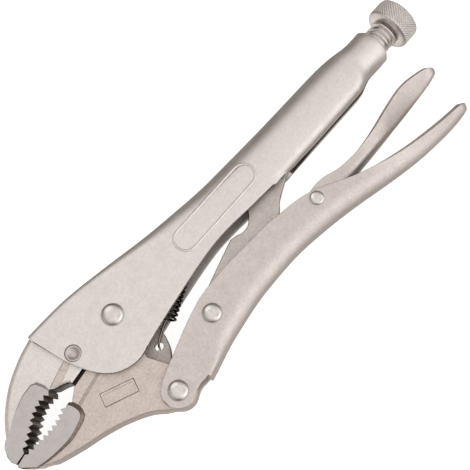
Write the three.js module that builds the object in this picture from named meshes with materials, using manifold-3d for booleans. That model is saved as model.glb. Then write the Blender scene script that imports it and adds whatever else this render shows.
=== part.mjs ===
// Ten-inch curved-jaw locking pliers with a wire cutter, lying flat and locked shut.
// Units are millimetres. +X runs from the jaws to the adjusting screw, +Y from the lower
// handle to the upper one, and +Z up out of the flat side. Everything is laid out from the
// jaw pivot at (0, 0), with the middle plane of the tool at z = 0. The last lines move the
// whole tool so that its box stands on z = 0, centred on the origin.

import * as THREE from 'three';
import { mergeVertices } from 'three/addons/utils/BufferGeometryUtils.js';
import Module from 'manifold-3d';

const wasm = await Module();
wasm.setup();

// ---- Driving dimensions ----

const HANDLE_WIDTH = 17.6; // outer width of both pressed channels
const SHEET = 2.2; // thickness of their steel sheet
const RUNNING_GAP = 0.3; // clearance between pieces that touch or turn
const JAW_THICKNESS = 12.6; // forged jaws, where they run between the channel walls
const TOOTH_BLOCK_WIDTH = 16.4; // raised, ground gripping blocks
const EAR_THICKNESS = 4.4; // spring ear of the moving jaw
const LINK_THICKNESS = 5.6;
const LEVER_WIDTH = 12.4; // release lever, inside the lower channel
const LEVER_SHEET = 1.8;

const JAW_PIVOT = [0, 0];
const HANDLE_PIVOT = [-5.2, -40.1]; // moving jaw to lower handle
const LINK_PIVOT = [26.4, -30]; // lower handle to toggle link
const NOSE_CENTRE = [108, -3.7]; // the link's round nose, behind the screw's tip
const LEVER_PIVOT = [90.6, -31.3];
const PLUG_CENTRE = [-21.6, 1.4]; // dished plug that holds the fixed jaw
const SPRING_EYE = [2.9, -21.4]; // hole in the moving jaw's ear
const SPRING_ANCHOR = [57, 2.7]; // the spring's far end, under the crown

const SCREW_AXIS_Y = -3.7;
const COLLAR_RADIUS = 8.8;
const COLLAR_START = 146;
const COLLAR_END = 164.5;
const SCREW_RADIUS = 6.3;
const THREAD_PITCH = 1.954;
const THREAD_DEPTH = 0.9;
const NOSE_RADIUS = 3.8;
const NOSE_TO_SCREW = 2.9; // room at the pivot where the linkage is opened
const KNOB_RADIUS = 10.5;
const KNOB_START = 173;
const KNOB_END = 183;
const SPINDLE_RADIUS = 3; // the screw's plain end, inside the knob
const SPINDLE_END = 179.5;

const TOOTH_DEPTH = 1.7;
const TOOTH_COUNT = 9;
const CUTTER_GROOVE_DEPTH = 0.5;
const SIZE_PAD_HEIGHT = 0.4;

const JAW_RIVET = { shank: 3.6, head: 4.7, height: 1.9 };
const HANDLE_RIVET = { shank: 3.1, head: 4.2, height: 1.7 };
const LINK_RIVET = { shank: 3, head: 4.1, height: 1.7 };
const LEVER_RIVET = { shank: 2.2, head: 3.1, height: 1.1 };
const PLUG_RADIUS = 3.2;

const SPRING_WIRE_RADIUS = 0.45;
const SPRING_COIL_RADIUS = 2.8;
const SPRING_TURNS = 20;

const ROUND_SIDES = 24;
const THROUGH = 13; // half-length of a cutter that passes right through the tool

const halfWidth = HANDLE_WIDTH / 2;
const halfJaw = JAW_THICKNESS / 2;
const halfBlock = TOOTH_BLOCK_WIDTH / 2;
const halfLink = LINK_THICKNESS / 2;
const halfLever = LEVER_WIDTH / 2;

// ---- Materials ----

function steel(color, roughness) {
  return new THREE.MeshStandardMaterial({ color, roughness, metalness: 0.9 });
}

const nickel = () => steel(0xd3cbc6, 0.38);
const forging = () => steel(0xc9bdb1, 0.5);
const polished = () => steel(0xddd8d4, 0.25);
const darkWire = () => steel(0x2a2826, 0.4);

// ---- Solids ----

function solid(geometry) {
  geometry.deleteAttribute('normal');
  geometry.deleteAttribute('uv');
  const merged = mergeVertices(geometry, 1e-4);
  const vertProperties = new Float32Array(merged.attributes.position.array);
  const triVerts = new Uint32Array(merged.index.array);
  return new wasm.Manifold(new wasm.Mesh({ numProp: 3, vertProperties, triVerts }));
}

function meshOf(name, body, material) {
  const { vertProperties, triVerts } = body.getMesh();
  const geometry = new THREE.BufferGeometry();
  geometry.setAttribute('position', new THREE.BufferAttribute(new Float32Array(vertProperties), 3));
  geometry.setIndex(new THREE.BufferAttribute(new Uint32Array(triVerts), 1));
  geometry.computeVertexNormals();
  const mesh = new THREE.Mesh(geometry, material);
  mesh.name = name;
  return mesh;
}

const joined = (first, ...others) => others.reduce((sum, other) => sum.add(other), first);
const cut = (first, ...others) => others.reduce((rest, other) => rest.subtract(other), first);

function outline(points) {
  return new THREE.Shape(points.map(([x, y]) => new THREE.Vector2(x, y)));
}

// Points along a smooth curve through a few given ones.
function smooth(points, steps) {
  const curve = new THREE.SplineCurve(points.map(([x, y]) => new THREE.Vector2(x, y)));
  return curve.getSpacedPoints(steps).map((p) => [p.x, p.y]);
}

// Points along an arc, angles in degrees, counter-clockwise when the second is larger.
function arc([x, y], radius, from, to, steps) {
  return Array.from({ length: steps + 1 }, (_, i) => {
    const angle = THREE.MathUtils.degToRad(from + ((to - from) * i) / steps);
    return [x + radius * Math.cos(angle), y + radius * Math.sin(angle)];
  });
}

// A plate with the given outline between two heights, its edges rounded by `edge`.
function plate(points, halfThickness, edge = 0, edgeSteps = 1) {
  const geometry = new THREE.ExtrudeGeometry(outline(points), {
    depth: 2 * (halfThickness - edge),
    bevelEnabled: edge > 0,
    bevelThickness: edge,
    bevelSize: edge,
    bevelOffset: -edge,
    bevelSegments: edgeSteps,
  });
  geometry.translate(0, 0, edge - halfThickness);
  return solid(geometry);
}

// The same outline as two thin layers, one on each flat side of the tool.
function onBothSides(points, innerHeight, outerHeight) {
  return cut(plate(points, outerHeight), plate(points, innerHeight));
}

// A hole's cutter, with running clearance on the pin that sits in it.
function pinHole([x, y], pinRadius) {
  const radius = pinRadius + RUNNING_GAP;
  const geometry = new THREE.CylinderGeometry(radius, radius, 2 * THROUGH, ROUND_SIDES);
  geometry.rotateX(Math.PI / 2);
  geometry.translate(x, y, 0);
  return solid(geometry);
}

function cylinderX(radius, from, to) {
  const geometry = new THREE.CylinderGeometry(radius, radius, to - from, ROUND_SIDES);
  geometry.rotateZ(-Math.PI / 2);
  geometry.translate((from + to) / 2, SCREW_AXIS_Y, 0);
  return solid(geometry);
}

function box(x0, x1, y0, y1, halfZ) {
  const geometry = new THREE.BoxGeometry(x1 - x0, y1 - y0, 2 * halfZ);
  geometry.translate((x0 + x1) / 2, (y0 + y1) / 2, 0);
  return solid(geometry);
}

// A profile of [radius, distance along +X] turned about the screw's axis.
function turnedX(profile, sides) {
  const points = profile.map(([r, x]) => new THREE.Vector2(r, x));
  const geometry = new THREE.LatheGeometry(points, sides);
  geometry.rotateZ(-Math.PI / 2);
  geometry.translate(0, SCREW_AXIS_Y, 0);
  return solid(geometry);
}

// Half a profile of [radius, height], mirrored in the tool's middle plane and turned about Z.
function turnedZ([x, y], half) {
  const mirrored = half.map(([r, z]) => [r, -z]).reverse();
  const points = [...mirrored, ...half].map(([r, z]) => new THREE.Vector2(r, z));
  const geometry = new THREE.LatheGeometry(points, ROUND_SIDES);
  geometry.rotateX(Math.PI / 2);
  geometry.translate(x, y, 0);
  return solid(geometry);
}

// ---- Upper handle: pressed channel that closes into a tube and ends in the threaded collar ----

const LIP_Y = -14.3; // underside of the rear tube
const WALL_EDGE_Y = -12.7; // underside of the walls further forward
const TUBE_END = 156; // the tube's sheet reaches a little way into the collar
const TUBE_END_TOP = SCREW_AXIS_Y + COLLAR_RADIUS;
const FRONT_LOBE_CENTRE = [-6, 0];
const FRONT_LOBE_RADIUS = 19.7;

// The crown, from the front corner to the collar, lowered by `drop`.
function upperCrown(drop) {
  const front = [[-29, 20.4], [-8, 19.5], [63, 9.8], [104, 8.5]];
  const rear = [[104, 8.5], [132, 8.1], [144, 7.4], [152, TUBE_END_TOP + 0.2], [TUBE_END, TUBE_END_TOP]];
  const shoulder = smooth(rear, 7);
  return [...front, ...shoulder.slice(1)].map(([x, y]) => [x, y - drop]);
}

// Side view of the walls: a round lobe over the jaw pivot, then straight back to the tube.
function upperWallOutline() {
  const lobe = arc(FRONT_LOBE_CENTRE, FRONT_LOBE_RADIUS, 176, 285, 9);
  const under = [[40, WALL_EDGE_Y], [88, WALL_EDGE_Y], [97, LIP_Y - 1], [TUBE_END, LIP_Y - 1]];
  return [[-29.4, 24], ...lobe, ...under, [TUBE_END, 24]];
}

// The sheet's outer or inner skin before the walls are cut to shape: deep at the front, and
// closing to a tube behind x = 98, where the rounded edges curl the walls inward.
function upperSkin(inset, front, rear) {
  const deep = -32;
  const crown = upperCrown(inset).filter(([x]) => x > -20 && x < rear - 1);
  const under = [[142, LIP_Y + inset], [98, LIP_Y + inset], [80, deep], [front, deep]];
  const collarBottom = SCREW_AXIS_Y - COLLAR_RADIUS + inset;
  return [[front, 20.6 - inset], ...crown, [rear, TUBE_END_TOP - inset], [rear, collarBottom], ...under];
}

// A hook lanced down from the crown, for the spring's rear loop.
function springAnchor() {
  const [x, y] = SPRING_ANCHOR;
  const insideCrown = 8.4;
  return plate([[x + 1.4, y - 2.2], [x + 4, y - 2.2], [x + 5.5, insideCrown], [x + 1.5, insideCrown]], 1.5);
}

function upperHandle() {
  const crownRadius = 5;
  const walls = plate(upperWallOutline(), halfWidth + 1);
  const outside = plate(upperSkin(0, -36, TUBE_END), halfWidth, crownRadius, 3).intersect(walls);
  const inside = plate(upperSkin(SHEET, -46, 148), halfWidth - SHEET, crownRadius - SHEET, 2);
  const slot = box(90, 144, LIP_Y - 3, LIP_Y + 6, 1.1);
  const slotMouth = box(84, 107, LIP_Y - 6, LIP_Y + 5, halfLink + 0.6);
  const collar = cylinderX(COLLAR_RADIUS, COLLAR_START, COLLAR_END);
  const bore = cylinderX(SCREW_RADIUS + RUNNING_GAP, 130, COLLAR_END + 1);
  const behindCollar = box(152, TUBE_END + 4, -20, 12, THROUGH);
  const shell = cut(
    joined(cut(outside, behindCollar), collar),
    inside,
    slot,
    slotMouth,
    bore,
    pinHole(JAW_PIVOT, JAW_RIVET.shank),
    pinHole(PLUG_CENTRE, PLUG_RADIUS),
  );
  return joined(shell, springAnchor());
}

// ---- Jaws ----

// Saw teeth along a guide curve. Their crests stand to its left by the tooth depth.
function teeth(guide) {
  const curve = new THREE.SplineCurve(guide.map(([x, y]) => new THREE.Vector2(x, y)));
  const points = [];
  for (let i = 0; i < TOOTH_COUNT; i++) {
    const valley = curve.getPointAt(i / TOOTH_COUNT);
    const crest = curve.getPointAt((i + 0.5) / TOOTH_COUNT);
    const along = curve.getTangentAt((i + 0.5) / TOOTH_COUNT);
    points.push([valley.x, valley.y]);
    points.push([crest.x - along.y * TOOTH_DEPTH, crest.y + along.x * TOOTH_DEPTH]);
  }
  const end = curve.getPointAt(1);
  return [...points, [end.x, end.y]];
}

function fixedTeeth() {
  return teeth([[-38.4, -1.2], [-44, -0.9], [-49.3, -2.4], [-54, -5.3], [-60.8, -9]]);
}

function movingTeeth() {
  return teeth([[-60.8, -12.6], [-55.5, -13], [-50, -13.4], [-44.4, -12.9], [-38.8, -11]]);
}

const FIXED_TIP = [[-66.8, -11.4], [-67.5, -9.5], [-67.3, -7], [-65.9, -4.3]];
const MOVING_TIP = [[-66.3, -14.6], [-67.1, -12.6], [-66.6, -11.9]];
const CUTTER_GROOVE = [[-26.9, 3.6], [-24.9, 0.6], [-34.6, -4.2], [-36.9, 0.4]];
const SIZE_PAD = [[-26.5, -17], [-13, -22.9], [-15.3, -28.4], [-28.8, -22.6]];

function fixedJaw() {
  const cutterFace = [[-30.7, -6.1], ...smooth([[-31, -5.6], [-33.1, -4.2], [-36.8, -2.8]], 3)];
  const back = smooth([[-65.9, -4.3], [-61, 2.2], [-55.9, 7.4], [-47.8, 13.2], [-38, 17.6],
    [-29.7, 20]], 10);
  const underCrown = [[-29.7, 15.2], [-7.5, 14.2]];
  const aroundPivot = arc(JAW_PIVOT, 12.5, 118, 197, 7);
  const toothed = [...fixedTeeth(), ...FIXED_TIP];
  const body = [...cutterFace, ...toothed, ...back.slice(1), ...underCrown, ...aroundPivot];
  const blockTop = [[-64, -2.5], [-59.7, -1.3], [-56, 1.1], [-51, 3.5], [-46.3, 4.8], [-41.4, 5],
    [-40, 4.3]];
  const block = [...toothed, ...blockTop];
  const groove = onBothSides(CUTTER_GROOVE, halfJaw - CUTTER_GROOVE_DEPTH, halfJaw + 1);
  const forging = joined(plate(body, halfJaw), plate(block, halfBlock));
  return cut(forging, groove, pinHole(PLUG_CENTRE, PLUG_RADIUS));
}

// The thin ear behind the moving jaw's boss, which takes the spring's front hook.
function springEar() {
  const hiddenFront = [[-5, -10], [-6, -32]];
  const rear = [[2.2, -29], [5.3, -25.6], [7.7, -20.6], [8.6, -17]];
  return plate([...arc(JAW_PIVOT, 10, -20, -60, 3), ...hiddenFront, ...rear], EAR_THICKNESS / 2);
}

function movingJaw() {
  const cutterFace = [[-36.3, -11.3], [-32, -8.3], [-31.2, -7.6]];
  const boss = arc(JAW_PIVOT, 11.6, 205, -38, 12);
  const rearEdge = [[-3.2, -19], [-3.3, -22], [0, -29.5], [2.4, -36]];
  const heel = arc(HANDLE_PIVOT, 7.2, 0, -120, 6);
  const belly = smooth([[-14.2, -41.2], [-18.7, -36.9], [-27.2, -32.1], [-36.7, -28.4], [-46.2, -25.6],
    [-56.5, -21.8], [-62.3, -18.1], [-66.3, -14.6]], 10);
  const toothed = [...MOVING_TIP.slice(1), ...movingTeeth()];
  const body = [...cutterFace, ...boss, ...rearEdge, ...heel, ...belly, ...toothed];
  const blockUnder = [[-37, -10.4], [-36.4, -16.3], [-36.9, -17.2], [-41.6, -19.2], [-46.9, -20.2],
    [-53.1, -19.6], [-60.8, -18.9], [-62.3, -18.1]];
  const block = [...blockUnder, ...MOVING_TIP, ...movingTeeth()];
  const sizePad = onBothSides(SIZE_PAD, halfJaw - 1, halfJaw + SIZE_PAD_HEIGHT);
  return cut(
    joined(plate(body, halfJaw), plate(block, halfBlock), springEar(), sizePad),
    pinHole(JAW_PIVOT, JAW_RIVET.shank),
    pinHole(HANDLE_PIVOT, HANDLE_RIVET.shank),
    pinHole(SPRING_EYE, SPRING_WIRE_RADIUS + 1.2),
  );
}

// ---- Lower handle: pressed channel with a forked front and an open, flared tail ----

const FORK_END = 6.8; // ahead of this there is no crown, only the two walls

// The crown, raised by `rise`, from the fork to the tip of the tail.
function lowerCrown(rise) {
  const line = smooth([[7, -46.3], [20.8, -43.3], [43.8, -39.9], [69.7, -39.6], [93.9, -43.2], [115, -48.2],
    [136.7, -52.8], [156, -54.4], [168, -54]], 14);
  return line.map(([x, y]) => [x, y + rise]);
}

// Side view of the walls: a round end on the pivot, a notch, then deep walls that run out
// along the tail.
function lowerWallOutline() {
  const end = arc(HANDLE_PIVOT, 7, 115, 308, 10);
  const notch = [[3, -44.9], [7, -46.6], [7.2, -48]];
  const belowCrown = [[60, -60], [169.5, -60], [169.5, -54]];
  const top = smooth([[168.2, -53.2], [159.3, -51.3], [150.6, -50.5], [140.7, -48.4], [120.7, -42.2],
    [109.3, -37.5], [96, -29.6], [90.9, -27.3], [84.2, -25.4], [68, -22.7], [45.9, -21.6], [34.6, -21.7],
    [22.4, -23.4], [3.2, -29.4], [-6, -32.6]], 24);
  return [...end, ...notch, ...belowCrown, ...top];
}

function lowerHandle() {
  const crownRadius = 6;
  const crownCarriedForward = [-5, -49.4];
  const beyond = [[185, -54], [185, -10], [-20, -10]];
  const walls = plate(lowerWallOutline(), halfWidth + 1);
  const outside = plate([crownCarriedForward, ...lowerCrown(0), ...beyond], halfWidth, crownRadius, 3);
  const hollow = [[-24, -60], [7, -60], ...lowerCrown(SHEET), [190, SHEET - 54], [190, -5], [-24, -5]];
  return cut(
    outside.intersect(walls),
    plate(hollow, halfWidth - SHEET, crownRadius - SHEET, 2),
    box(-24, FORK_END, -70, 0, halfWidth - SHEET),
    pinHole(HANDLE_PIVOT, HANDLE_RIVET.shank),
    pinHole(LINK_PIVOT, LINK_RIVET.shank),
    pinHole(LEVER_PIVOT, LEVER_RIVET.shank),
  );
}

// ---- Toggle link: a flat bar whose round nose bears on the screw's tip ----

function toggleLink() {
  const pivotEnd = arc(LINK_PIVOT, 7, 107, 288, 9);
  const under = [[66, -26], [77.4, -22.6], [79.5, -20.2], [91.1, -14.4]];
  const nose = arc(NOSE_CENTRE, NOSE_RADIUS, -66, 100, 8);
  const over = [[90, 0.2], [76, -4.4], ...smooth([[70.5, -10], [67.5, -13.8], [64, -16], [60.3, -16],
    [58.6, -15.2], [55, -14.4]], 7)];
  const bar = plate([...pivotEnd, ...under, ...nose, ...over], halfLink, 0.5, 1);
  return cut(bar, pinHole(LINK_PIVOT, LINK_RIVET.shank));
}

// ---- Release lever: a small pressed channel inside the lower handle, open upward ----

function releaseLever() {
  const crownRadius = 3.6;
  const line = smooth([[78, -33.5], [92, -36.6], [116, -36], [141, -35.6], [158, -34.6], [171, -33.4]], 9);
  const crown = (rise) => line.map(([x, y]) => [x, y + rise]);
  const top = smooth([[170.6, -32.2], [165.4, -30], [158.5, -28.4], [149.6, -27.9], [131.5, -30.3],
    [115.5, -30.7], [106.5, -29.7], [101, -27.7], [96, -26.7], [90, -26.7]], 14);
  const front = [[84, -27], [80.2, -27.4], [78.6, -29], [79.4, -33], [84, -40]];
  const walls = plate([...top, ...front, [171, -40]], halfLever + 1);
  const beyond = [[190, -33], [190, -10], [70, -10], [70, -33]];
  const outside = plate([...crown(0), ...beyond], halfLever, crownRadius, 3);
  const hollow = [...crown(LEVER_SHEET), [195, -31], [195, -5], [82, -5], [82, -30]];
  const inside = plate(hollow, halfLever - LEVER_SHEET, crownRadius - LEVER_SHEET, 2);
  return cut(outside.intersect(walls), inside, pinHole(LEVER_PIVOT, LEVER_RIVET.shank));
}

// ---- Rivets and the fixed jaw's plug ----

// A shank with a domed head on each side of the handle.
function rivet(centre, { shank, head, height }) {
  const seat = halfWidth + 0.05;
  const domeSteps = 3;
  const half = [[shank, seat]];
  for (let i = 0; i < domeSteps; i++) {
    const angle = (Math.PI / 2) * (i / domeSteps);
    half.push([head * Math.cos(angle), seat + height * Math.sin(angle)]);
  }
  half.push([0, seat + height]);
  return turnedZ(centre, half);
}

// A rivet peened into a shallow dish, just below the faces of the upper handle.
function fixedJawPlug() {
  const rim = halfWidth - 0.3;
  const dish = halfWidth - 1.4;
  return turnedZ(PLUG_CENTRE, [[PLUG_RADIUS, rim], [2.6, rim], [1.6, dish + 0.3], [0, dish]]);
}

// ---- Adjusting screw: threaded shank, and the knurled knob on its end ----

function screwShank() {
  const tip = NOSE_CENTRE[0] + NOSE_RADIUS + NOSE_TO_SCREW;
  const chamfer = 1.2;
  const root = SCREW_RADIUS - THREAD_DEPTH;
  const flange = SCREW_RADIUS + 0.8;
  const flangeEnd = KNOB_START - RUNNING_GAP;
  const threadStart = tip + chamfer;
  const threadEnd = 167;
  const profile = [[0, tip], [root - chamfer / 2, tip], [root, threadStart]];
  const turns = Math.floor((threadEnd - threadStart) / THREAD_PITCH);
  for (let turn = 0; turn < turns; turn++) {
    const x = threadStart + turn * THREAD_PITCH;
    profile.push([SCREW_RADIUS, x + THREAD_PITCH / 2], [root, x + THREAD_PITCH]);
  }
  profile.push(
    [root, flangeEnd - 0.9],
    [flange, flangeEnd - 0.9],
    [flange, flangeEnd],
    [SPINDLE_RADIUS, flangeEnd],
    [SPINDLE_RADIUS, SPINDLE_END],
    [0, SPINDLE_END],
  );
  return turnedX(profile, 16);
}

function screwKnob() {
  const boreRadius = SPINDLE_RADIUS + RUNNING_GAP;
  const boreEnd = SPINDLE_END + RUNNING_GAP;
  return turnedX([
    [boreRadius, KNOB_START],
    [7.4, KNOB_START],
    [9, KNOB_START + 1.4],
    [KNOB_RADIUS, KNOB_START + 3.6],
    [KNOB_RADIUS, KNOB_END - 1.4],
    [KNOB_RADIUS - 1.2, KNOB_END],
    [0, KNOB_END],
    [0, boreEnd],
    [boreRadius, boreEnd],
    [boreRadius, KNOB_START],
  ], 36);
}

// ---- Return spring: a coil between the moving jaw's ear and the hook under the crown ----

function returnSpring() {
  const stepsPerTurn = 7;
  const eye = new THREE.Vector3(...SPRING_EYE, 0);
  const along = new THREE.Vector3(...SPRING_ANCHOR, 0).sub(eye);
  const length = along.length();
  along.normalize();
  const across = new THREE.Vector3(-along.y, along.x, 0);
  const up = new THREE.Vector3(0, 0, 1);
  const place = (forward, sideways, height) => eye.clone()
    .addScaledVector(along, forward)
    .addScaledVector(across, sideways)
    .addScaledVector(up, height);
  const coilStart = 11;
  const coilEnd = length - 8;
  const beside = EAR_THICKNESS / 2 + 1.3;
  const points = [
    place(-0.6, 0, -beside),
    place(0.2, 0, -1.4),
    place(0.2, 0, 1.4),
    place(1.4, 0, beside),
    place(4.5, 0, beside),
    place(coilStart - 2, 0.4, SPRING_COIL_RADIUS),
  ];
  const coilSteps = SPRING_TURNS * stepsPerTurn;
  for (let i = 0; i <= coilSteps; i++) {
    const angle = (2 * Math.PI * i) / stepsPerTurn;
    const forward = THREE.MathUtils.lerp(coilStart, coilEnd, i / coilSteps);
    points.push(place(forward, SPRING_COIL_RADIUS * Math.sin(angle), SPRING_COIL_RADIUS * Math.cos(angle)));
  }
  points.push(place(coilEnd + 2.5, 0, 1.6), place(length - 1.2, 0, 0.6), place(length + 0.2, 0.3, 0));
  const section = outline(arc([0, 0], SPRING_WIRE_RADIUS, 0, 270, 3));
  const extrudePath = new THREE.CatmullRomCurve3(points);
  const options = { steps: points.length, bevelEnabled: false, extrudePath };
  return solid(new THREE.ExtrudeGeometry(section, options));
}

// ---- The tool ----

const tool = new THREE.Group();
tool.add(
  meshOf('upper_handle', upperHandle(), nickel()),
  meshOf('fixed_jaw', fixedJaw(), forging()),
  meshOf('fixed_jaw_plug', fixedJawPlug(), nickel()),
  meshOf('jaw_pivot_rivet', rivet(JAW_PIVOT, JAW_RIVET), polished()),
  meshOf('moving_jaw', movingJaw(), forging()),
  meshOf('lower_handle', lowerHandle(), nickel()),
  meshOf('handle_pivot_rivet', rivet(HANDLE_PIVOT, HANDLE_RIVET), polished()),
  meshOf('link_rivet', rivet(LINK_PIVOT, LINK_RIVET), polished()),
  meshOf('lever_rivet', rivet(LEVER_PIVOT, LEVER_RIVET), polished()),
  meshOf('toggle_link', toggleLink(), nickel()),
  meshOf('release_lever', releaseLever(), nickel()),
  meshOf('adjusting_screw', screwShank(), nickel()),
  meshOf('screw_knob', screwKnob(), nickel()),
  meshOf('return_spring', returnSpring(), darkWire()),
);

const bounds = new THREE.Box3().setFromObject(tool);
const middle = bounds.getCenter(new THREE.Vector3());
tool.position.set(-middle.x, -middle.y, -bounds.min.z);

const root = new THREE.Group();
root.add(tool);
export default root;
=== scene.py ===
"""The visible pieces of a pair of ten-inch curved-jaw locking pliers, placed where the CAD's are.

Shapes are laid out in millimetres from the jaw pivot, as side views in X and Y with the
middle plane of the tool at z = 0, and are turned into metres in the frame by at().
"""

import math

import bmesh
import bpy
from mathutils import Matrix, Vector


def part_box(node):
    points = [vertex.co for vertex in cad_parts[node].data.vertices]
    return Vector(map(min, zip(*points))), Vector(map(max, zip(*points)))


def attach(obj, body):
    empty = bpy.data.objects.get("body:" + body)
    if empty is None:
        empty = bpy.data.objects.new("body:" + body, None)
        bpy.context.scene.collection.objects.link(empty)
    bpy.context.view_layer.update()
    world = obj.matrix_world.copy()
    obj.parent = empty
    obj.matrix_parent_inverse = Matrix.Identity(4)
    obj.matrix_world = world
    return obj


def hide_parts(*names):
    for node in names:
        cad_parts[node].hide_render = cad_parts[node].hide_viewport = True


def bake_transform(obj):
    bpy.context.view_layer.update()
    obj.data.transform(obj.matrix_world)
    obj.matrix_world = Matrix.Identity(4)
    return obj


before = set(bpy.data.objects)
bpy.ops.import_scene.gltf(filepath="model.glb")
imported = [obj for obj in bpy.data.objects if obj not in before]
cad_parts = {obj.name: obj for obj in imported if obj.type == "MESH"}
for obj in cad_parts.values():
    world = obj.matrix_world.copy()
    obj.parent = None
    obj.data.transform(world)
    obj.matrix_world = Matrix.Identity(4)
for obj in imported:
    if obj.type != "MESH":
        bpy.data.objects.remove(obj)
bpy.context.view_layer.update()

MM = 0.001


def middle_of(node):
    low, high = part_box(node)
    return (low + high) / 2


PIVOT = middle_of("jaw_pivot_rivet")


def at(x, y, z):
    return PIVOT + Vector((x, y, z)) * MM


def seen_from_pivot(point):
    return tuple((point - PIVOT) / MM)


def centre_of(node):
    """Where a rivet or plug stands in the side view."""
    return seen_from_pivot(middle_of(node))[:2]


# ---- Main sizes, in millimetres, as in the CAD ----

HALF_WIDTH = 8.8
SHEET = 2.2
HALF_JAW = 6.3
HALF_BLOCK = 8.2
HALF_EAR = 2.2
HALF_LINK = 2.8
HALF_LEVER = 6.2
LEVER_SHEET = 1.8
SCREW_Y = -3.7
SCREW_RADIUS = 6.3
THREAD_PITCH = 1.954
THREAD_DEPTH = 0.9
COLLAR_END = 164.5
KNOB_START = 173.0
KNOB_END = 183.0
KNOB_RADIUS = 10.5
TOOTH_DEPTH = 1.7
TOOTH_COUNT = 9

HANDLE_PIVOT = centre_of("handle_pivot_rivet")
LINK_PIVOT = centre_of("link_rivet")
PLUG_CENTRE = centre_of("fixed_jaw_plug")
SPRING_EYE = (2.9, -21.4)
SPRING_EYE_RADIUS = 1.9
SPRING_ANCHOR = (57.0, 2.7)


# ---- Curves ----

def smoothstep(low, high, x):
    t = min(1.0, max(0.0, (x - low) / (high - low)))
    return t * t * (3 - 2 * t)


def mix(a, b, t):
    return a + (b - a) * t


def curve_through(points):
    """A smooth y(x) through points in order of x, flat tangents beyond its ends."""
    xs = [p[0] for p in points]
    ys = [p[1] for p in points]
    slopes = []
    for i in range(len(xs)):
        before, after = max(i - 1, 0), min(i + 1, len(xs) - 1)
        slopes.append((ys[after] - ys[before]) / (xs[after] - xs[before]))

    def y(x):
        x = min(max(x, xs[0]), xs[-1])
        i = next(k for k in range(len(xs) - 1) if x <= xs[k + 1])
        span = xs[i + 1] - xs[i]
        t = (x - xs[i]) / span
        rise = 3 * t * t - 2 * t * t * t
        return (
            ys[i] * (1 - rise) + ys[i + 1] * rise
            + span * slopes[i] * (t - 2 * t * t + t * t * t)
            + span * slopes[i + 1] * (t * t * t - t * t)
        )

    return y


def smooth_path(points, steps):
    """Evenly spaced points along a Catmull-Rom curve through a few given ones."""
    fine = []
    fine_steps = 16
    for i in range(len(points) - 1):
        p0 = points[max(i - 1, 0)]
        p1, p2 = points[i], points[i + 1]
        p3 = points[min(i + 2, len(points) - 1)]
        for k in range(fine_steps):
            t = k / fine_steps
            fine.append(tuple(
                0.5 * (2 * b + (c - a) * t + (2 * a - 5 * b + 4 * c - d) * t * t
                       + (3 * b - a - 3 * c + d) * t * t * t)
                for a, b, c, d in zip(p0, p1, p2, p3)
            ))
    fine.append(tuple(points[-1]))
    return evenly(fine, steps)


def evenly(points, steps):
    """The same polyline, cut at equal distances into that many steps."""
    lengths = [0.0]
    for a, b in zip(points, points[1:]):
        lengths.append(lengths[-1] + math.dist(a, b))
    out = []
    k = 0
    for i in range(steps + 1):
        goal = lengths[-1] * i / steps
        while k < len(points) - 2 and lengths[k + 1] < goal:
            k += 1
        t = (goal - lengths[k]) / max(lengths[k + 1] - lengths[k], 1e-9)
        out.append(tuple(mix(a, b, min(t, 1.0)) for a, b in zip(points[k], points[k + 1])))
    return out


def arc(centre, radius, start, end, steps):
    """Points along an arc, angles in degrees."""
    angles = [math.radians(mix(start, end, i / steps)) for i in range(steps + 1)]
    return [(centre[0] + radius * math.cos(a), centre[1] + radius * math.sin(a)) for a in angles]


# ---- Meshes ----

BEYOND = 20  # well outside the tool along Z, for cutting through it
HOLE_SIDES = 40
HEAD_SIDES = 48
SKIRT_CURVE = [  # how a hollow skirt flares: share of its width, share of its way down
    (0.0, 0.0), (0.03, 0.1), (0.12, 0.2), (0.34, 0.4), (0.6, 0.6), (0.8, 0.8), (1.0, 1.0),
]


def new_object(name, vertices, faces, material):
    mesh = bpy.data.meshes.new(name)
    mesh.from_pydata([at(*v) for v in vertices], [], faces)
    mesh.validate()
    obj = bpy.data.objects.new(name, mesh)
    bpy.context.scene.collection.objects.link(obj)
    mesh.materials.append(material)
    return obj


def cleaned(obj, merge=1e-6):
    """Merges double vertices, makes the normals agree and shades the faces smooth."""
    work = bmesh.new()
    work.from_mesh(obj.data)
    bmesh.ops.remove_doubles(work, verts=work.verts, dist=merge)
    bmesh.ops.recalc_face_normals(work, faces=work.faces)
    for face in work.faces:
        face.smooth = True
    work.to_mesh(obj.data)
    work.free()
    return obj


def grid_faces(rows, columns, closed_rows=False, closed_columns=False):
    faces = []
    for i in range(rows if closed_rows else rows - 1):
        for j in range(columns if closed_columns else columns - 1):
            a, b = i * columns + j, i * columns + (j + 1) % columns
            c, d = ((i + 1) % rows) * columns + (j + 1) % columns, ((i + 1) % rows) * columns + j
            faces.append((a, b, c, d))
    return faces


def end_caps(rows, columns):
    """Closes a grid of rings at its first and its last one."""
    return [tuple(range(columns)), tuple(reversed(range((rows - 1) * columns, rows * columns)))]


def turned_pair(name, centre, profile, material):
    """The same turned shape on both faces of the tool: profile is (radius, height) points."""
    vertices, faces = [], []
    for side in (1, -1):
        start = len(vertices)
        for k in range(HEAD_SIDES):
            angle = 2 * math.pi * k / HEAD_SIDES
            x, y = math.cos(angle), math.sin(angle)
            vertices += [(centre[0] + r * x, centre[1] + r * y, side * h) for r, h in profile]
        faces += [tuple(start + i for i in face)
                  for face in grid_faces(HEAD_SIDES, len(profile), closed_rows=True)]
    return cleaned(new_object(name, vertices, faces, material))


def applied(obj):
    """The object with its modifiers made permanent."""
    bpy.context.view_layer.update()
    graph = bpy.context.evaluated_depsgraph_get()
    mesh = bpy.data.meshes.new_from_object(obj.evaluated_get(graph))
    obj.modifiers.clear()
    obj.data = mesh
    return obj


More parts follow.
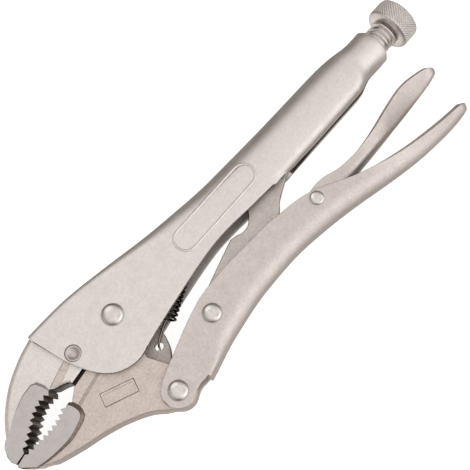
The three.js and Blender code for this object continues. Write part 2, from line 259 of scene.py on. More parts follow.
def rounded(obj, width):
    """Rounds the cut edges of a sheet, and leaves its gentler bends alone."""
    bevel = obj.modifiers.new("edges", "BEVEL")
    bevel.width = width * MM
    bevel.segments = 3
    bevel.limit_method = "ANGLE"
    bevel.angle_limit = math.radians(50)
    bevel.use_clamp_overlap = False
    bevel.miter_outer = "MITER_ARC"
    even = obj.modifiers.new("shading", "WEIGHTED_NORMAL")
    even.keep_sharp = False
    even.weight = 60


def cut_out(obj, prisms):
    """Takes prisms away from the object: each is (ring of points, ring of points)."""
    vertices, faces = [], []
    for low, high in prisms:
        first, count = len(vertices), len(low)
        vertices += low + high
        for i in range(count):
            after = (i + 1) % count
            faces.append((first + i, first + after, first + count + after, first + count + i))
        for start in (first, first + count):
            faces += [(start, start + i, start + i + 1) for i in range(1, count - 1)]
    cutter = cleaned(new_object("cutter", vertices, faces, None))
    boolean = obj.modifiers.new("cut", "BOOLEAN")
    boolean.object = cutter
    boolean.solver = "EXACT"
    applied(obj)
    bpy.data.objects.remove(cutter)


def round_hole(centre, radius):
    """A prism for a round hole right through along Z."""
    ring = arc(centre, radius, 0, 360, HOLE_SIDES)[:-1]
    return [(x, y, -BEYOND) for x, y in ring], [(x, y, BEYOND) for x, y in ring]


def pocket(corners, depth, face, side):
    """A prism for a shallow pocket in the flat face at z = side * face."""
    bottom = [(x, y, side * (face - depth)) for x, y in corners]
    return bottom, [(x, y, side * BEYOND) for x, y in corners]


def sheet_metal(name, rows, thickness, material, edge, holes=()):
    """A pressed sheet from rows of points on its outer skin, thickened inward."""
    vertices = [p for row in rows for p in row]
    obj = new_object(name, vertices, grid_faces(len(rows), len(rows[0])), material)
    cleaned(obj)
    thickened(obj, thickness, edge)
    if holes:
        obj.modifiers.remove(obj.modifiers["shading"])
        applied(obj)
        cut_out(obj, [round_hole(*hole) for hole in holes])
        crisp(obj, 60)
    return obj


def thickened(obj, thickness, edge):
    """Gives an open skin the thickness of its sheet, inward, and rounds its cut edges."""
    face_outward(obj)
    solid = obj.modifiers.new("sheet", "SOLIDIFY")
    solid.thickness = thickness * MM
    solid.offset = -1
    applied(obj)
    rounded(obj, edge)


def face_outward(obj):
    """Turns an open skin so that its normals point away from the middle plane."""
    out = sum(f.normal.z * (f.center.z - PIVOT.z) * f.area for f in obj.data.polygons)
    if out < 0:
        obj.data.flip_normals()


def ring_of(outline, insets):
    """The outline moved inward by its own amount at each corner."""
    count = len(outline)
    area = sum(a[0] * b[1] - b[0] * a[1] for a, b in zip([outline[-1]] + outline[:-1], outline))
    turn = 1 if area > 0 else -1
    bluntest = 1.6  # stops the corner of a sharp point from moving too far
    ring = []
    for i in range(count):
        (ax, ay), (bx, by), (cx, cy) = outline[i - 1], outline[i], outline[(i + 1) % count]
        one = Vector((-(by - ay), bx - ax)).normalized() * turn
        two = Vector((-(cy - by), cx - bx)).normalized() * turn
        middle = one + two
        reach = insets[i] * 2 / max(middle.length_squared, bluntest)
        ring.append((bx + middle.x * reach, by + middle.y * reach))
    return ring


def plate(name, runs, half, material, holes=(), pockets=()):
    """A flat plate. runs are (points, width at first, width at last) and, where the sides are
    drafted, how far they bulge at the middle plane. A positive width rounds the edge over; a
    negative one is a hollow skirt that flares out by that much on its way down to the jaw."""
    outline, widths, drafts = [], [], []
    for points, first, last, *draft in runs:
        outline += points
        widths += [mix(first, last, i / max(len(points) - 1, 1)) for i in range(len(points))]
        drafts += [draft[0] if draft else 0.0] * len(points)
    drop = half - HALF_JAW
    levels = []
    for along, down in SKIRT_CURVE:
        a = math.radians(90) * down
        insets = [w * (1 - math.sin(a)) if w > 0 else w * along for w in widths]
        depths = [w * (1 - math.cos(a)) if w > 0 else drop * down for w in widths]
        levels.append([(x, y, half - d) for (x, y), d in zip(ring_of(outline, insets), depths)])
    lower = [[(x, y, -z) for x, y, z in ring] for ring in reversed(levels)]
    if any(drafts):
        base = [min(w, 0.0) - draft for w, draft in zip(widths, drafts)]
        levels.append([(x, y, 0.0) for x, y in ring_of(outline, base)])
    levels += lower
    count = len(outline)
    faces = grid_faces(len(levels), count, closed_columns=True)
    faces += end_caps(len(levels), count)
    obj = new_object(name, [p for ring in levels for p in ring], faces, material)
    cleaned(obj)
    prisms = [round_hole(*hole) for hole in holes]
    prisms += [pocket(*sunk, half, side) for sunk in pockets for side in (1, -1)]
    if prisms:
        cut_out(obj, prisms)
    return crisp(obj)


def painted(obj, material, chosen):
    """Gives some faces another material: chosen tells, from a face's middle and its normal."""
    obj.data.materials.append(material)
    index = len(obj.data.materials) - 1
    for face in obj.data.polygons:
        if chosen(seen_from_pivot(face.center), face.normal):
            face.material_index = index


def side_between(low, high, toward):
    """Chooses the side faces between two X positions that look up (1) or down (-1) along Y."""
    def chosen(middle, normal):
        return abs(normal.z) < 0.5 and normal.y * toward > 0.1 and low < middle[0] < high

    return chosen


def floor_of(depth):
    """Chooses the floors of a forged jaw's pockets of one depth."""
    return lambda middle, normal: abs(normal.z) > 0.9 and abs(abs(middle[2]) - HALF_JAW + depth) < 0.02


def crisp(obj, angle=38):
    """Smooth shading that keeps its sharp edges and its flat faces flat."""
    obj.data.set_sharp_from_angle(angle=math.radians(angle))
    even = obj.modifiers.new("shading", "WEIGHTED_NORMAL")
    even.keep_sharp = True
    even.weight = 60
    return obj


def turned_about_screw(name, columns):
    """A turned shape on the screw's axis: columns holds (x, radius) points for each angle."""
    vertices = []
    for k, column in enumerate(columns):
        angle = 2 * math.pi * k / len(columns)
        y, z = math.cos(angle), math.sin(angle)
        vertices += [(x, SCREW_Y + r * y, r * z) for x, r in column]
    faces = grid_faces(len(columns), len(columns[0]), closed_rows=True)
    return cleaned(new_object(name, vertices, faces, SCREW))


# ---- Materials ----

def nodes_of(name):
    material = bpy.data.materials.new(name)
    material.use_nodes = True
    tree = material.node_tree
    return material, tree, tree.nodes["Principled BSDF"]


def noise(tree, scale, detail, stretch=None):
    """Noise in object space, its scale in features per metre."""
    coordinates = tree.nodes.new("ShaderNodeTexCoord")
    texture = tree.nodes.new("ShaderNodeTexNoise")
    texture.inputs["Scale"].default_value = scale
    texture.inputs["Detail"].default_value = detail
    if stretch:
        mapping = tree.nodes.new("ShaderNodeMapping")
        mapping.inputs["Scale"].default_value = stretch
        tree.links.new(coordinates.outputs["Object"], mapping.inputs["Vector"])
        tree.links.new(mapping.outputs["Vector"], texture.inputs["Vector"])
    else:
        tree.links.new(coordinates.outputs["Object"], texture.inputs["Vector"])
    return texture.outputs["Fac"]


def ramp(tree, value, stops):
    node = tree.nodes.new("ShaderNodeValToRGB")
    node.color_ramp.elements[0].position = stops[0][0]
    node.color_ramp.elements[0].color = (*stops[0][1], 1)
    node.color_ramp.elements[1].position = stops[-1][0]
    node.color_ramp.elements[1].color = (*stops[-1][1], 1)
    for position, color in stops[1:-1]:
        element = node.color_ramp.elements.new(position)
        element.color = (*color, 1)
    tree.links.new(value, node.inputs["Fac"])
    return node.outputs["Color"]


def fit_range(tree, value, low, high):
    """Stretches the middle of a noise's range to run from low to high."""
    node = tree.nodes.new("ShaderNodeMapRange")
    node.inputs["From Min"].default_value = 0.3
    node.inputs["From Max"].default_value = 0.7
    node.inputs["To Min"].default_value = low
    node.inputs["To Max"].default_value = high
    tree.links.new(value, node.inputs["Value"])
    return node.outputs["Result"]


def bumped(tree, shader, heights):
    """Chains bumps of (height, strength, distance in millimetres) onto the shader."""
    normal = None
    for height, strength, distance in heights:
        node = tree.nodes.new("ShaderNodeBump")
        node.inputs["Strength"].default_value = strength
        node.inputs["Distance"].default_value = distance * MM
        tree.links.new(height, node.inputs["Height"])
        if normal:
            tree.links.new(normal, node.inputs["Normal"])
        normal = node.outputs["Normal"]
    tree.links.new(normal, shader.inputs["Normal"])


def plated(name, dark, light, roughness, grain):
    """Satin plated steel: faint clouding in its colour and a fine, blasted grain."""
    material, tree, shader = nodes_of(name)
    shader.inputs["Metallic"].default_value = 1.0
    speck = noise(tree, 1000, 3)
    tree.links.new(ramp(tree, speck, [(0.3, dark), (0.7, light)]), shader.inputs["Base Color"])
    tree.links.new(fit_range(tree, noise(tree, 240, 4), *roughness), shader.inputs["Roughness"])
    bumped(tree, shader, [(speck, grain, 0.07), (noise(tree, 420, 4), grain * 0.5, 0.12)])
    return material


def ground(name, dark, light, roughness):
    """A face finished on a grinding wheel: fine parallel scratches along X."""
    material, tree, shader = nodes_of(name)
    shader.inputs["Metallic"].default_value = 1.0
    scratches = noise(tree, 420, 5, (1, 4, 1))
    tree.links.new(ramp(tree, scratches, [(0.25, dark), (0.75, light)]), shader.inputs["Base Color"])
    tree.links.new(fit_range(tree, noise(tree, 300, 3), *roughness), shader.inputs["Roughness"])
    bumped(tree, shader, [(scratches, 0.08, 0.05)])
    return material


NICKEL = plated("satin nickel", (0.68, 0.64, 0.62), (0.76, 0.72, 0.7), (0.5, 0.58), 0.22)
WARM_NICKEL = plated("warm satin nickel", (0.57, 0.52, 0.49), (0.66, 0.605, 0.575), (0.48, 0.58), 0.25)
PALE_FORGED = plated("pale forged jaw", (0.7, 0.655, 0.63), (0.8, 0.755, 0.73), (0.5, 0.6), 0.3)
FORGED = plated("forged jaw", (0.56, 0.485, 0.44), (0.68, 0.605, 0.56), (0.48, 0.6), 0.4)
# Near-black brown: on the moving block's skirt it is partly the raw forging's own colour and partly
# painted shade; on the handle wall's edge over the jaw and on the size pad's sides it is painted shade.
RAW_FORGING_AND_SHADE = plated("raw forging and painted shade", (0.2, 0.165, 0.14), (0.32, 0.27, 0.235), (0.45, 0.6), 0.4)
# A darker forging on the moving jaw's pocket floor; it is also used as painted shade on the sunk ear and
# in the knob's knurl grooves.
DARK_FORGING_AND_SHADE = plated("darker forging and painted shade", (0.4, 0.355, 0.325), (0.5, 0.455, 0.425), (0.5, 0.6), 0.3)
GROUND = ground("ground block", (0.48, 0.45, 0.44), (0.56, 0.53, 0.52), (0.45, 0.55))
# Near black: painted shade on the sides of teeth and cutters that face along Y, and on the tube's slot
# edges.
SIDE_SHADE = plated("painted side shade", (0.06, 0.048, 0.04), (0.16, 0.13, 0.11), (0.4, 0.6), 0.4)
RIVET = plated("rivet head", (0.56, 0.53, 0.5), (0.66, 0.63, 0.6), (0.22, 0.28), 0.1)
LINK = plated("link steel", (0.5, 0.45, 0.42), (0.6, 0.55, 0.52), (0.45, 0.55), 0.25)
SCREW = plated("screw steel", (0.6, 0.56, 0.53), (0.74, 0.7, 0.67), (0.28, 0.36), 0.12)
SPRING = plated("spring wire", (0.025, 0.022, 0.02), (0.07, 0.062, 0.055), (0.28, 0.4), 0.1)
HOOK = plated("bright wire", (0.16, 0.15, 0.14), (0.34, 0.32, 0.3), (0.25, 0.35), 0.1)


# ---- Upper handle ----

UPPER_CROWN = curve_through([
    (-29, 20.35), (-20, 20.2), (-8, 19.5), (9.7, 16.85), (32.4, 13.2), (51.4, 11.15), (63.9, 10.0),
    (76, 9.5), (88, 9.0), (104, 8.5), (124, 8.15), (132, 8.0), (140, 7.65), (146, 6.9), (151, 5.8),
    (155, 5.1), (165, 5.1),
])
UPPER_WALL_EDGE = [
    (-29, 17.5), (-27.6, 10), (-25.9, 1.5), (-23, -7), (-20.7, -11.5), (-17.7, -15.3), (-13.7, -18.2),
    (-8.4, -19.9), (-3.9, -20), (-0.3, -19.1), (10, -17.1), (24, -14.8), (38.9, -12.6), (50, -11.6),
    (60, -11.8), (70, -12.6), (86, -13.6),
]
WALL_START, FAN_END = UPPER_WALL_EDGE[0][0], 20  # the sections between them lean with the wall's end
SHADED_EDGE_START, SHADED_EDGE_END = -22, 0  # where the wall's cut edge lies over the moving jaw; it is painted dark there as the wall's shadow on the jaw
FRONT_CORNER = 2.6  # radius of the crown's corners, which grow into a half round further back
ROUNDING_START, ROUNDING_END = -5, 74
CURL_START, CURL_END = 84, 99  # where the walls turn in to close the tube
CURL_BOTTOM = UPPER_WALL_EDGE[-1][1]
LIP_TURN = 89.5
SHOULDER_START, SHOULDER_END = 142, 151.5
TUBE_CORNER = 3.4
TUBE_BOTTOM = -14.3
BARREL = 0.18  # how much narrower the tube is at its crown and its lips than at mid height
BARREL_START, BARREL_END = 35, 105
STAMP_CENTRE = (60.5, -1.6)
STAMP_LENGTH, STAMP_WIDTH = 46.0, 10.0
STAMP_RIDGE = [  # across the ridge, above the wall
    (-0.65, -0.2), (-0.5, 0.06), (-0.2, 0.32), (0.2, 0.32), (0.5, 0.06), (0.65, -0.2),
]
SLOT_HALF_WIDTH, MOUTH_HALF_WIDTH = 2.0, 3.7  # the link swings out through the slot's mouth
MOUTH_START, MOUTH_END = 102, 110
COLLAR_ROUNDING = 1.4
PLUG_HOLE_RADIUS = 3.5


def upper_row(x, bottom):
    """One half-section of the upper handle: from the wall's lower edge up to the crown's middle."""
    top = UPPER_CROWN(x)
    radius = mix(FRONT_CORNER, HALF_WIDTH, smoothstep(ROUNDING_START, ROUNDING_END, x))
    curl = smoothstep(CURL_START, CURL_END, x)
    closing = smoothstep(SHOULDER_START, SHOULDER_END, x)
    corner = mix(TUBE_CORNER, HALF_WIDTH, closing)
    tube_bottom = mix(TUBE_BOTTOM, SCREW_Y - HALF_WIDTH, closing)
    shoulder = (x, top - radius, HALF_WIDTH)
    points = []
    steps = 12
    if curl > 0:
        foot = (x, min(tube_bottom + corner, shoulder[1] - 0.01), HALF_WIDTH)
        turn = math.radians(LIP_TURN) * curl
        gap = mix(MOUTH_HALF_WIDTH, SLOT_HALF_WIDTH, smoothstep(MOUTH_START, MOUTH_END, x))
        flat = max(HALF_WIDTH - corner - gap, 0.0)
        length = mix(corner, corner * turn + flat, curl)
        for k in range(steps, 0, -1):
            reach = length * k / steps
            a = min(reach / corner, turn)
            rest = reach - a * corner
            points.append((
                x,
                foot[1] - corner * math.sin(a) - rest * math.cos(a),
                HALF_WIDTH - corner * (1 - math.cos(a)) - rest * math.sin(a),
            ))
        straight = steps
    else:
        foot = (*bottom, HALF_WIDTH)
        straight = 2 * steps
    for k in range(straight):
        t = k / straight
        points.append(tuple(mix(a, b, t) for a, b in zip(foot, shoulder)))
    flat = HALF_WIDTH - radius
    points += [(x, top - radius + y, flat + z) for z, y in arc((0, 0), radius, 0, 90, 10)]
    points += [(x, top, flat * (1 - k / 3)) for k in range(1, 4)]
    barrel = BARREL * smoothstep(BARREL_START, BARREL_END, x) * (1 - closing)
    middle, reach = (top + tube_bottom) / 2, (top - tube_bottom) / 2
    points = [(x, y, z * (1 - barrel * ((y - middle) / reach) ** 2)) for x, y, z in points]
    return shrunk_end(points, x)


def shrunk_end(points, x):
    """Draws the collar's last stretch in towards the screw, so that its end is rounded."""
    past = max(x - (COLLAR_END - COLLAR_ROUNDING), 0.0) / COLLAR_ROUNDING
    scale = 1 - (1 - math.sqrt(max(1 - past * past, 0.0))) * COLLAR_ROUNDING / HALF_WIDTH
    return [(x, SCREW_Y + (y - SCREW_Y) * scale, z * scale) if past else (x, y, z) for x, y, z in points]


def tube_step(x):
    """Rows lie close together where the section changes quickly."""
    if x > COLLAR_END - COLLAR_ROUNDING:
        return 0.25
    return 1.0 if x < CURL_END or SHOULDER_START - 1 < x < SHOULDER_END + 1 else 3.5


def whole_section(half):
    mirrored = [(x, y, -z) for x, y, z in reversed(half)]
    return half + mirrored[1:]


def upper_handle():
    edge = smooth_path(UPPER_WALL_EDGE, 60)
    fan = [p for p in edge if p[0] < FAN_END]
    rows = [(mix(WALL_START, FAN_END, (i / len(fan)) ** 1.15), p) for i, p in enumerate(fan)]
    rows += [(p[0], p) for p in edge if FAN_END <= p[0] < CURL_START]
    x = CURL_START
    while x < COLLAR_END:
        rows.append((x, (x, CURL_BOTTOM)))
        x += tube_step(x)
    rows.append((COLLAR_END, (COLLAR_END, CURL_BOTTOM)))
    sections = [whole_section(upper_row(x, bottom)) for x, bottom in rows]
    piece = sheet_metal("upper_handle_shell", sections, SHEET, NICKEL, edge=0.3,
                        holes=[(PLUG_CENTRE, PLUG_HOLE_RADIUS)])
    # The wall's cut edge over the moving jaw is painted dark, as the shadow it casts there.
    painted(piece, RAW_FORGING_AND_SHADE, side_between(SHADED_EDGE_START, SHADED_EDGE_END, -1))
    # The lips' cut edges along the slot are painted near black as the slot's shade.
    painted(piece, SIDE_SHADE, shaded_slot_edges)
    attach(piece, "frame")
    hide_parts("upper_handle")
    for side, place in ((1, "near"), (-1, "far")):
        ridge = stamped_outline("upper_handle_stamp_" + place, side)
        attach(ridge, "frame")


def shaded_slot_edges(middle, normal):
    """Chooses the lips' cut edges, which look at each other across the tube's slot, to be painted near
    black as the slot's shade.
    """
    below_screw = middle[1] < SCREW_Y - SCREW_RADIUS
    return below_screw and abs(normal.z) > 0.5 and abs(middle[2]) < MOUTH_HALF_WIDTH


def stamped_outline(name, side):
    """A plain long oval, pressed up out of the handle's wall."""
    radius = STAMP_WIDTH / 2
    reach = STAMP_LENGTH / 2 - radius
    x, y = STAMP_CENTRE
    loop = arc((x + reach, y), radius, -90, 90, 14) + arc((x - reach, y), radius, 90, 270, 14)
    vertices = []
    for inset, height in STAMP_RIDGE:
        z = side * (HALF_WIDTH + height)
        vertices += [(*p, z) for p in ring_of(loop, [inset] * len(loop))]
    faces = grid_faces(len(STAMP_RIDGE), len(loop), closed_rows=True, closed_columns=True)
    return cleaned(new_object(name, vertices, faces, NICKEL))


# ---- Lower handle ----

LOWER_CROWN = curve_through([
    (7, -46.2), (11.4, -45.3), (20.8, -43.3), (31.6, -41.5), (43.8, -39.9), (56, -39.4), (69.7, -39.6),
    (83.2, -41.3), (93.9, -43.2), (104.8, -45.6), (115, -48.2), (125.6, -50.7), (136.7, -52.8),
    (149, -54.1), (156, -54.4), (163.5, -54.3), (169, -53.6),
])
LOWER_WALL_EDGE = curve_through([
    (-6, -32.6), (3.2, -29.4), (16.4, -25), (22.4, -23.4), (28, -22.1), (34.6, -21.6), (45.9, -21.5),
    (58.2, -22.2), (68, -22.7), (75.2, -23.9), (84.2, -25.4), (90.9, -27.4), (96, -29.8), (102.7, -33.7),
    (109.3, -37.3), (120.7, -42.1), (131.2, -45.7), (140.7, -48.1), (150.6, -50), (159.3, -51.1),
    (169, -52),
])
FORK_END = 7.0
FORK_STEPS = 18
FORK_CORNER, CROWN_CORNER, CORNER_END = 1.1, 7.0, 26
HANDLE_EYE_RADIUS = 7.0
LOWER_TIP = 166.3
LOWER_SPLAY, LOWER_SPLAY_START, LOWER_SPLAY_END = 48, 98, 150
NARROWEST_TIP = 0.8


def channel_row(x, crown, edge, width, corner, splay):
    """A half-section of an open channel, from the rim to the crown's middle. splay is how far
    the walls lean outward from upright, in degrees."""
    rise = edge - crown
    turn = math.radians(90 - splay)
    bend = min(corner, rise / (1 - math.cos(turn)), width / math.sin(turn))
    wall = max(rise - bend * (1 - math.cos(turn)), 0.0) / math.sin(turn)
    flat = max(width - bend * math.sin(turn) - wall * math.cos(turn), 0.0)
    length = flat + bend * turn + wall
    steps = 22
    points = []
    for k in range(steps, -1, -1):
        s = length * k / steps
        a = min(max((s - flat) / bend, 0.0), turn)
        rest = max(s - flat - bend * turn, 0.0)
        points.append((
            x,
            crown + bend * (1 - math.cos(a)) + rest * math.sin(turn),
            min(s, flat) + bend * math.sin(a) + rest * math.cos(turn),
        ))
    return points


def tip_width(x, tip, blunt, width):
    """Half-width of a tail, rounded off over its last stretch."""
    back = min(max((tip - x) / blunt, 0.0), 1.0)
    return max(width * math.sqrt(max(1 - (1 - back) ** 2, 0.0)), NARROWEST_TIP)


def tail_stations(start, tip, step, fine_from):
    """Positions of a handle's sections along X, close together over its rounded end."""
    places = []
    x = start
    while x < tip - 0.2:
        places.append(x)
        x += step if x < fine_from else 0.6
    return places


def lower_handle():
    sections = []
    for x in tail_stations(FORK_END, LOWER_TIP, step=2.5, fine_from=160):
        width = tip_width(x, LOWER_TIP, blunt=6.0, width=HALF_WIDTH)
        corner = mix(FORK_CORNER, CROWN_CORNER, smoothstep(FORK_END, CORNER_END, x))
        splay = LOWER_SPLAY * smoothstep(LOWER_SPLAY_START, LOWER_SPLAY_END, x)
        row = channel_row(x, LOWER_CROWN(x), LOWER_WALL_EDGE(x), width, corner, splay)
        sections.append(whole_section(row))
    shell = new_object("lower_handle_shell", [p for row in sections for p in row],
                       grid_faces(len(sections), len(sections[0])), WARM_NICKEL)
    add_fork(shell, sections[0])
    cleaned(shell, merge=2e-5)
    thickened(shell, SHEET, edge=0.25)
    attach(shell, "handle")
    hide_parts("lower_handle")


def add_fork(shell, first_section):
    """The two flat eyes ahead of the crown, joined onto the channel's first section."""
    wall = [p for p in first_section if p[2] > HALF_WIDTH - 1e-6]
    wall_top, wall_foot = wall[0][1], wall[-1][1]
    upper = arc(HANDLE_PIVOT, HANDLE_EYE_RADIUS, 180, 113, 10)
    upper += [(x, LOWER_WALL_EDGE(x)) for x in (-6, -3.5, -1, 1.5, 4, FORK_END)]
    lower = arc(HANDLE_PIVOT, HANDLE_EYE_RADIUS, 180, 304, 12)
    lower += [(0.9, -45.1), (3.0, -44.8), (5.2, -45.0), (FORK_END, wall_foot)]
    upper, lower = evenly(upper, FORK_STEPS), evenly(lower, FORK_STEPS)
    work = bmesh.new()
    work.from_mesh(shell.data)
    for side in (1, -1):
        columns = []
        for top, foot in zip(upper[:-1], lower[:-1]):
            down = [(wall_top - p[1]) / (wall_top - wall_foot) for p in wall]
            columns.append([(mix(top[0], foot[0], t), mix(top[1], foot[1], t)) for t in down])
        columns.append([p[:2] for p in wall])
        z = side * HALF_WIDTH
        corners = [[work.verts.new(at(x, y, z)) for x, y in column] for column in columns]
        for a, b in zip(corners, corners[1:]):
            for k in range(len(wall) - 1):
                work.faces.new((a[k], a[k + 1], b[k + 1], b[k]))
    work.to_mesh(shell.data)
    work.free()


# ---- Release lever ----

LEVER_CROWN = curve_through([
    (78, -33.5), (84, -35.3), (92, -36.5), (104, -36.6), (116, -36.1), (128, -35.8), (141, -35.6),
    (155.4, -34.9), (163, -34.3), (171, -33.2),
])
LEVER_WALL_EDGE = curve_through([
    (78, -29), (84, -27.2), (92, -26.8), (96, -26.5), (101.1, -27.3), (106.5, -29.2), (115.5, -30.4),
    (123.6, -30.5), (131.5, -29.9), (140.5, -28.6), (149.6, -27.5), (155, -27.5), (160, -28.2),
    (165.4, -29.6), (171, -31.4),
])
LEVER_START, LEVER_TIP = 78.5, 171.3
LEVER_CORNER = 3.6
LEVER_TAIL_WIDTH = 8.0
LEVER_FLARE_START, LEVER_FLARE_END = 108, 138
LEVER_SPLAY, LEVER_SPLAY_END = 45, 142


def release_lever():
    sections = []
    for x in tail_stations(LEVER_START, LEVER_TIP, step=2.0, fine_from=162):
        flare = smoothstep(LEVER_FLARE_START, LEVER_FLARE_END, x)
        width = tip_width(x, LEVER_TIP, blunt=6.5, width=mix(HALF_LEVER, LEVER_TAIL_WIDTH, flare))
        splay = LEVER_SPLAY * smoothstep(LEVER_FLARE_START, LEVER_SPLAY_END, x)
        row = channel_row(x, LEVER_CROWN(x), LEVER_WALL_EDGE(x), width, LEVER_CORNER, splay)
        sections.append(whole_section(row))
    piece = sheet_metal("release_lever_shell", sections, LEVER_SHEET, WARM_NICKEL,
                        edge=0.25)
    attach(piece, "lever")
    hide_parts("release_lever")


# ---- Jaws ----

def teeth(guide):
    """Saw teeth along a guide curve, their crests to its left."""
    path = smooth_path(guide, 2 * TOOTH_COUNT)
    points = []
    for i in range(TOOTH_COUNT):
        valley, crest, after = path[2 * i], path[2 * i + 1], path[2 * i + 2]
        length = math.dist(valley, after)
        ux, uy = (after[0] - valley[0]) / length, (after[1] - valley[1]) / length
        points.append(valley)
        points.append((crest[0] - uy * TOOTH_DEPTH, crest[1] + ux * TOOTH_DEPTH))
    points.append(path[-1])
    return points


FIXED_GUIDE = [(-38.4, -1.2), (-44, -0.9), (-49.3, -2.4), (-54, -5.3), (-60.8, -9)]
MOVING_GUIDE = [(-60.8, -12.4), (-55.5, -13), (-50, -13.4), (-44.4, -12.9), (-38.8, -11)]
FIXED_TIP = [(-61.8, -10.7), (-64.2, -11.1), (-66.8, -11.5), (-67.5, -9.5), (-67.3, -7), (-65.9, -4.3)]
MOVING_TIP = [(-66.3, -14.6), (-67.1, -12.9), (-66.6, -12.0), (-64.0, -11.6), (-61.9, -11.3)]
CUTTER_STRIP = [(-26.4, 2.8), (-25.4, -0.2), (-36.4, -4.0), (-37.6, -0.4)]
CUTTER_STEP = [(-19.0, -10.1), (-18.8, -11.5), (-35.4, -14.9), (-35.6, -13.5)]
STRIP_DEPTH = 0.3
PAD_RISE, PAD_RIM = 0.4, 1.1
SIZE_PAD = [(-26.5, -17), (-13, -22.9), (-15.3, -28.4), (-28.8, -22.6)]


def behind(guide, rise):
    """A plain line along a row of teeth, set back from it."""
    return [(x, y + rise) for x, y in smooth_path(guide, 8)]


def fixed_jaw():
    cutter = [(-30.7, -6.1)] + smooth_path([(-31, -5.2), (-33.1, -3.7), (-36.8, -2.3)], 5)
    back = smooth_path([(-65.9, -4.3), (-61, 2.2), (-55.9, 7.4), (-47.8, 13.2), (-38, 17.6),
                        (-29.7, 20)], 28)
    hidden = [(-28, 19.8), (-26, 15.0), (-7.5, 14.2)] + arc((0, 0), 12.5, 118, 197, 12)
    inner_tip = [(-66.2, -10.9), (-66.9, -9.2), (-66.7, -7)]
    body = plate("fixed_jaw_body", [
        (cutter, 1.6, 1.6), (behind(FIXED_GUIDE, 0.6), 0.1, 0.1), (inner_tip, 0.5, 1.0),
        (back[:4], 1.2, 2.6), (back[4:], 2.6, 2.6), (hidden[:2], 2.0, 1.0), (hidden[2:], 0.4, 0.4),
    ], HALF_JAW, PALE_FORGED, pockets=[(CUTTER_STRIP, STRIP_DEPTH)])
    # The cutter's sides facing down along Y are painted near black as shade.
    painted(body, SIDE_SHADE, side_between(-38, -20, -1))
    painted(body, FORGED, floor_of(STRIP_DEPTH))
    block_back = smooth_path([(-65.9, -4.3), (-63.8, -2.2), (-59.7, -0.9), (-56, 1.2), (-51, 3.4),
                              (-46.3, 4.8), (-41.8, 5.1)], 18)
    block_end = [(-40.2, 4.3), (-39.2, 1.4)]
    block = plate("fixed_jaw_block", [
        (teeth(FIXED_GUIDE), 0.1, 0.1), (FIXED_TIP[:-1], 0.1, 0.6), (block_back, -0.3, -1.1),
        (block_end, -1.1, -1.1),
    ], HALF_BLOCK, GROUND)
    # The block's sides facing down along Y are painted near black as shade.
    painted(block, SIDE_SHADE, side_between(-68, -37, -1))
    for piece in (body, block):
        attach(piece, "frame")
    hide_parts("fixed_jaw")


def moving_jaw():
    cutter = [(-36.3, -11.3), (-32, -8.3), (-31.2, -7.6)]
    boss = arc((0, 0), 11.6, 205, -38, 24)
    rear = [(-3.2, -19), (-3.3, -22), (0, -29.5), (2.4, -36)]
    heel = arc(HANDLE_PIVOT, 7.2, 0, -120, 12)
    belly = smooth_path([(-14.2, -41.2), (-18.7, -36.9), (-27.2, -32.1), (-36.7, -28.4), (-46.2, -25.6),
                         (-56.5, -21.8), (-62.3, -18.1), (-66.3, -14.6)], 24)
    inner_tip = [(-65.6, -14.2), (-63.6, -12.6)]
    body = plate("moving_jaw_body", [
        (cutter, 0.3, 0.3), (boss, 0.3, 0.3), (rear, 0.4, 0.4), (heel, 0.4, 0.4),
        (belly[:20], 0.6, 0.6, 0.9), (belly[20:-2], 0.6, 0.6, 0.4), (inner_tip, 0.3, 0.1),
        (behind(MOVING_GUIDE, -0.6), 0.1, 0.1),
    ], HALF_JAW, FORGED, pockets=[(CUTTER_STEP, STRIP_DEPTH)])
    pad = plate("moving_jaw_size_pad", [(SIZE_PAD, 0.5, 0.5)], HALF_JAW + PAD_RISE, FORGED,
                pockets=[(ring_of(SIZE_PAD, [PAD_RIM] * len(SIZE_PAD)), STRIP_DEPTH)])
    # The pad's sloping sides are painted near black as the pad's shade.
    painted(pad, RAW_FORGING_AND_SHADE, lambda middle, normal: abs(normal.z) < 0.9)
    # The cutter's sides facing up along Y are painted near black as shade.
    painted(body, SIDE_SHADE, side_between(-36, -20, 1))
    painted(body, DARK_FORGING_AND_SHADE, floor_of(STRIP_DEPTH))
    under = smooth_path([(-36.9, -12.2), (-36.4, -14.5), (-36.6, -16.6), (-38, -18), (-41.6, -19.2),
                         (-46.9, -20.2), (-53.1, -19.9), (-58, -19.2), (-62.3, -18.1)], 18)
    block = plate("moving_jaw_block", [
        (under, -1.7, -0.3), (MOVING_TIP, 0.6, 0.1), (teeth(MOVING_GUIDE), 0.1, 0.1),
        ([(-37.4, -11.0)], -1.0, -1.0),
    ], HALF_BLOCK, GROUND)
    # The hollow skirt under the block is painted near black: partly the raw forging's own colour, partly
    # painted shade.
    painted(block, RAW_FORGING_AND_SHADE, lambda middle, normal: abs(normal.z) < 0.97 and HALF_JAW < abs(middle[2]))
    # The block's sides facing up along Y are painted near black as shade.
    painted(block, SIDE_SHADE, side_between(-68, -37, 1))
    ear_front = arc((0, 0), 10, -20, -60, 6) + [(-5, -10), (-6, -32)]
    ear_rear = smooth_path([(2.2, -29), (5.3, -25.6), (7.7, -20.6), (8.6, -17)], 10)
    # The sunk ear is given the darker colour as painted shade.
    ear = plate("moving_jaw_ear", [(ear_front, 0.2, 0.2), (ear_rear, 0.4, 0.4)], HALF_EAR, DARK_FORGING_AND_SHADE,
                holes=[(SPRING_EYE, SPRING_EYE_RADIUS)])
    for piece in (body, block, pad, ear):
        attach(piece, "jaw")
    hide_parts("moving_jaw")


# ---- Toggle link ----

LINK_EYE_RADIUS = 7
NOSE_CENTRE, NOSE_RADIUS = (108, SCREW_Y), 3.8


